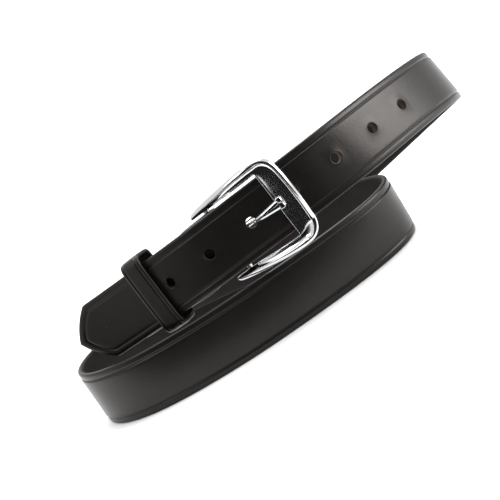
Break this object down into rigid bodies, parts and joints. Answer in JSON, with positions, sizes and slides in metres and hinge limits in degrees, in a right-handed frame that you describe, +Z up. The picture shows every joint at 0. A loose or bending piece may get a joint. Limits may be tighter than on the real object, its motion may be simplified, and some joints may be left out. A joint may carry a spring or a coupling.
{
  "type": "leather belt",
  "caption": "Buckled leather dress belt wound into two standing turns, with an open-backed chrome buckle, prong, pointed billet and sliding keeper.",
  "frame": {"origin": "middle of the coil's footprint, at the height of the table it stands on", "axes": "+X along the coil's longest side, towards the right-hand folds; -Y the way the buckle faces; +Z up, across the strap's width"},
  "size_m": [0.2582, 0.1346, 0.0843],
  "materials": {
    "strap_leather": "semi-gloss, fine grain, burnished edges",
    "keeper_leather": "semi-gloss, fine grain, creased",
    "polished_chrome": "polished",
    "pin_steel": "drawn bright",
    "staple_steel": "drawn wire",
    "fastener_steel": "nickel plated"
  },
  "bodies": {
    "strap": {"strap": "strap_leather", "screw_posts": "fastener_steel", "screws": "fastener_steel"},
    "buckle": {"buckle_frame": "polished_chrome", "heel_bar": "pin_steel"},
    "prong": {"prong": "polished_chrome"},
    "keeper": {"keeper": "keeper_leather", "keeper_staple": "staple_steel"}
  },
  "joints": [
    {"name": "buckle_swing", "type": "hinge", "parent": "strap", "child": "buckle", "pos_m": [-0.02098, -0.04833, 0.05644], "axis": [0.0957, -0.0811, -0.9921], "range_deg": [0, 2]},
    {"name": "prong_swing", "type": "hinge", "parent": "buckle", "child": "prong", "pos_m": [-0.02098, -0.04833, 0.05644], "axis": [0.0957, -0.0811, -0.9921], "range_deg": [0, 2]},
    {"name": "keeper_slide", "type": "slide", "parent": "strap", "child": "keeper", "axis": [-0.8959, 0.4256, -0.127], "range_m": [-0.003, 0.004]}
  ]
}
